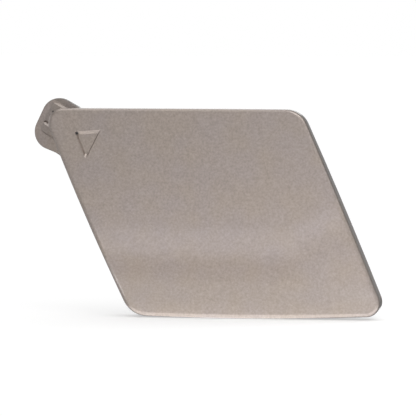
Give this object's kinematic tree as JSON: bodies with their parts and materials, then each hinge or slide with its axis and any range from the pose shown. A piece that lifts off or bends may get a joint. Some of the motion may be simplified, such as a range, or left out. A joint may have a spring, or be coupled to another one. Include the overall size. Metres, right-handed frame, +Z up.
{
  "type": "bumper tow hook cover",
  "caption": "Leaning four-sided snap-in cover plate with rounded corners, a shallow return flange, a press mark, a tucked-in tongue at one corner and snap hooks behind.",
  "frame": {"origin": "middle of the four-sided outline, in the plane of the flange's rim that seats on the bumper's ledge", "axes": "+X runs to the right as seen from in front of the car, +Y into the bumper, +Z up"},
  "size_m": [0.1062, 0.0163, 0.0653],
  "materials": {
    "painted_plastic": "metallic paint, champagne grey, clear coated"
  },
  "bodies": {
    "root": {"tow_hook_cover": "painted_plastic"}
  },
  "joints": []
}
